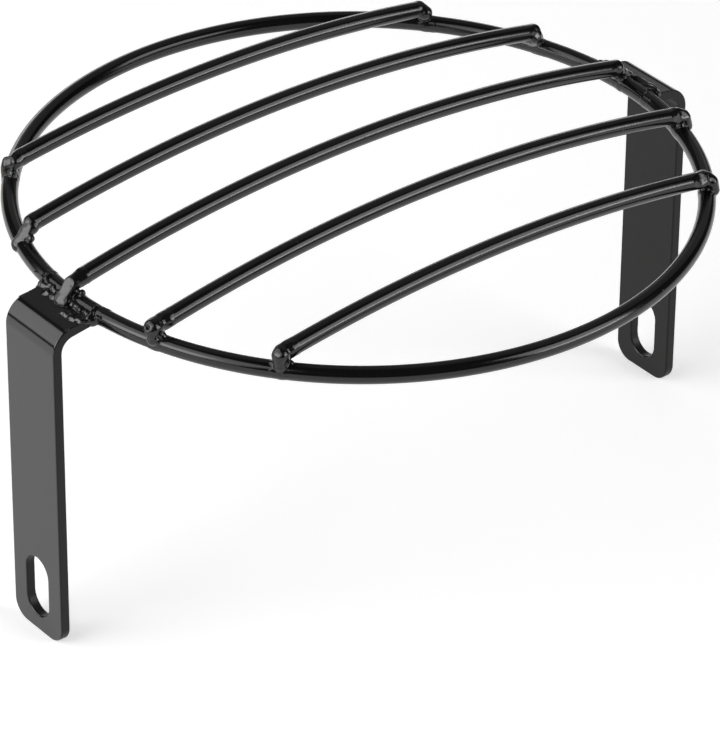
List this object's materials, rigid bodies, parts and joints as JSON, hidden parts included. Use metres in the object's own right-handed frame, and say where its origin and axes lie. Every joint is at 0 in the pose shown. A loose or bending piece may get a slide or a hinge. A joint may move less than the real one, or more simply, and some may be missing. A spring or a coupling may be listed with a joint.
{
  "type": "motorcycle headlight guard",
  "caption": "Round welded wire grille that covers a motorcycle's headlight: arched bars across a hoop, on folded strap brackets with bolt slots.",
  "frame": {"origin": "on the plane of the two leg ends, midway between the legs, under the middle of the ring", "axes": "+X along the bars from the left bracket to the right one, +Y across the bars, +Z along the legs and forward, away from the headlight"},
  "size_m": [0.18, 0.16, 0.0973],
  "materials": {
    "gloss_black_paint": "gloss",
    "weld_paint": "gloss"
  },
  "bodies": {
    "root": {"ring": "gloss_black_paint", "bar_1": "gloss_black_paint", "bar_2": "gloss_black_paint", "bar_3": "gloss_black_paint", "bar_4": "gloss_black_paint", "bar_5": "gloss_black_paint", "bracket_left": "gloss_black_paint", "bracket_right": "gloss_black_paint", "weld_bar_1_left": "weld_paint", "weld_bar_2_left": "weld_paint", "weld_bar_3_left": "weld_paint", "weld_bar_4_left": "weld_paint", "weld_bar_5_left": "weld_paint", "weld_bracket_far_left": "weld_paint", "weld_bracket_near_left": "weld_paint", "weld_bar_1_right": "weld_paint", "weld_bar_2_right": "weld_paint", "weld_bar_3_right": "weld_paint", "weld_bar_4_right": "weld_paint", "weld_bar_5_right": "weld_paint", "weld_bracket_far_right": "weld_paint", "weld_bracket_near_right": "weld_paint"}
  },
  "joints": []
}
